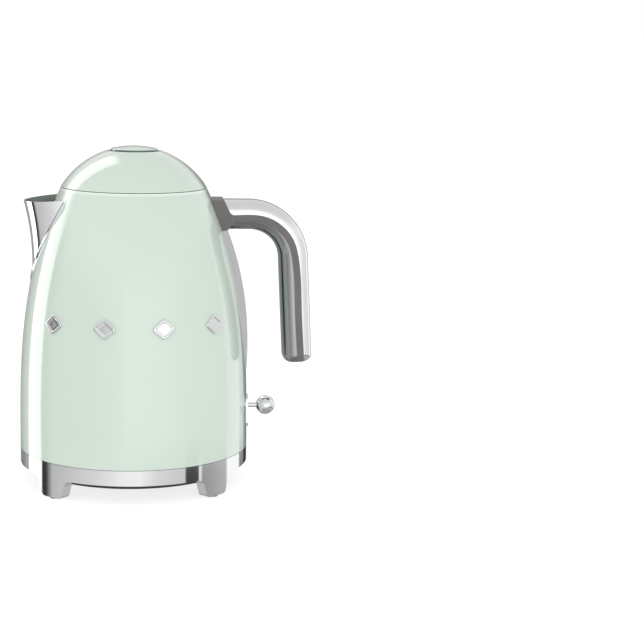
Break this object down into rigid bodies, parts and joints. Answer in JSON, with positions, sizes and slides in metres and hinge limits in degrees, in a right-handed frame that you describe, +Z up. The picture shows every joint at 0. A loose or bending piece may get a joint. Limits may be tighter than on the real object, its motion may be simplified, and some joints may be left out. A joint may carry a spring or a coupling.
{
  "type": "electric kettle",
  "caption": "Cordless electric kettle on a round power base, with a domed flip lid, side handle, pouring spout and ball-ended switch lever.",
  "frame": {"origin": "on the floor, at the middle of the four feet and on the body's upright axis", "axes": "+Z up, +X towards the handle, -X towards the spout, -Y towards the front"},
  "size_m": [0.2157, 0.1692, 0.248],
  "materials": {
    "mint_paint": "gloss enamel",
    "polished_steel": "mirror polished",
    "bright_plating": "chromium plated moulding, mirror bright",
    "grey_plastic": "fine satin",
    "dark_plastic": "satin",
    "brushed_steel": "brushed",
    "screw_steel": "zinc plated",
    "contact_brass": "plated",
    "black_rubber": "matt",
    "clear_lens": "clear, smooth",
    "element_steel": "heat dulled",
    "aluminium": "cast"
  },
  "bodies": {
    "power_base": {"base_ring": "bright_plating", "base_platform": "dark_plastic", "base_bottom_cover": "dark_plastic", "base_cover_screws": "screw_steel", "base_foot_pads": "black_rubber", "base_spigot": "dark_plastic", "base_ring_contact": "contact_brass", "base_centre_contact": "contact_brass", "cord_gland": "dark_plastic"},
    "socket_seal": {"socket_seal_ring": "black_rubber"},
    "kettle": {"bottom_cover": "dark_plastic", "bottom_cover_screws": "screw_steel", "tank_floor": "brushed_steel", "heat_diffuser": "aluminium", "heating_element": "element_steel", "control_housing": "grey_plastic", "connector_carrier": "dark_plastic", "socket_ring_pin": "contact_brass", "socket_centre_pin": "contact_brass", "bimetal_discs": "brushed_steel", "body_shell": "mint_paint", "spout": "polished_steel", "front_ornaments": "bright_plating", "handle_core": "grey_plastic", "handle_outer_shell": "bright_plating", "handle_inner_shell": "bright_plating", "handle_backplate": "brushed_steel", "handle_screws": "screw_steel", "window_frame": "bright_plating", "window_lens": "clear_lens", "window_gasket": "black_rubber", "lever_bracket": "grey_plastic", "lever_pin": "brushed_steel", "lever_plate": "polished_steel", "rim_collar": "dark_plastic", "hinge_pin": "brushed_steel", "hinge_spring": "brushed_steel", "filter_frame": "dark_plastic", "filter_mesh": "brushed_steel", "steam_tube": "dark_plastic"},
    "lever": {"lever_hub": "grey_plastic", "lever_stem": "polished_steel", "lever_ball": "polished_steel"},
    "lid": {"lid_shell": "mint_paint", "lid_inner_cover": "dark_plastic", "lid_seal": "black_rubber", "lid_chassis": "grey_plastic", "lid_screws": "screw_steel", "lid_hinge_leaf": "brushed_steel"},
    "lid_button": {"button_cap": "mint_paint", "button_stem": "dark_plastic", "button_spring": "brushed_steel"},
    "latch": {"latch_bolt": "dark_plastic", "latch_spring": "brushed_steel"}
  },
  "joints": [
    {"name": "kettle_lift", "type": "slide", "parent": "power_base", "child": "socket_seal", "axis": [0, 0, 1], "range_m": [0, 0.06]},
    {"name": "kettle_swivel", "type": "hinge", "parent": "socket_seal", "child": "kettle", "pos_m": [0, 0, 0.0281], "axis": [0, 0, 1], "continuous": true},
    {"name": "lid_hinge", "type": "hinge", "parent": "kettle", "child": "lid", "pos_m": [0.0509, 0, 0.2125], "axis": [0, 1, 0], "range_deg": [0, 75]},
    {"name": "lid_button_press", "type": "slide", "parent": "lid", "child": "lid_button", "axis": [0, 0, -1], "range_m": [0, 0.003], "stiffness_N_per_m": 400, "springref_m": -0.003, "deforming": ["button_spring"]},
    {"name": "latch_slide", "type": "slide", "parent": "lid", "child": "latch", "axis": [1, 0, 0], "range_m": [0, 0.003], "deforming": ["latch_spring"]},
    {"name": "lever_rock", "type": "hinge", "parent": "kettle", "child": "lever", "pos_m": [0.058, 0, 0.0543], "axis": [0, 1, 0], "range_deg": [0, 16]}
  ],
  "couplings": [
    {"joint": "latch_slide", "follows": "lid_button_press", "ratio": 1}
  ]
}
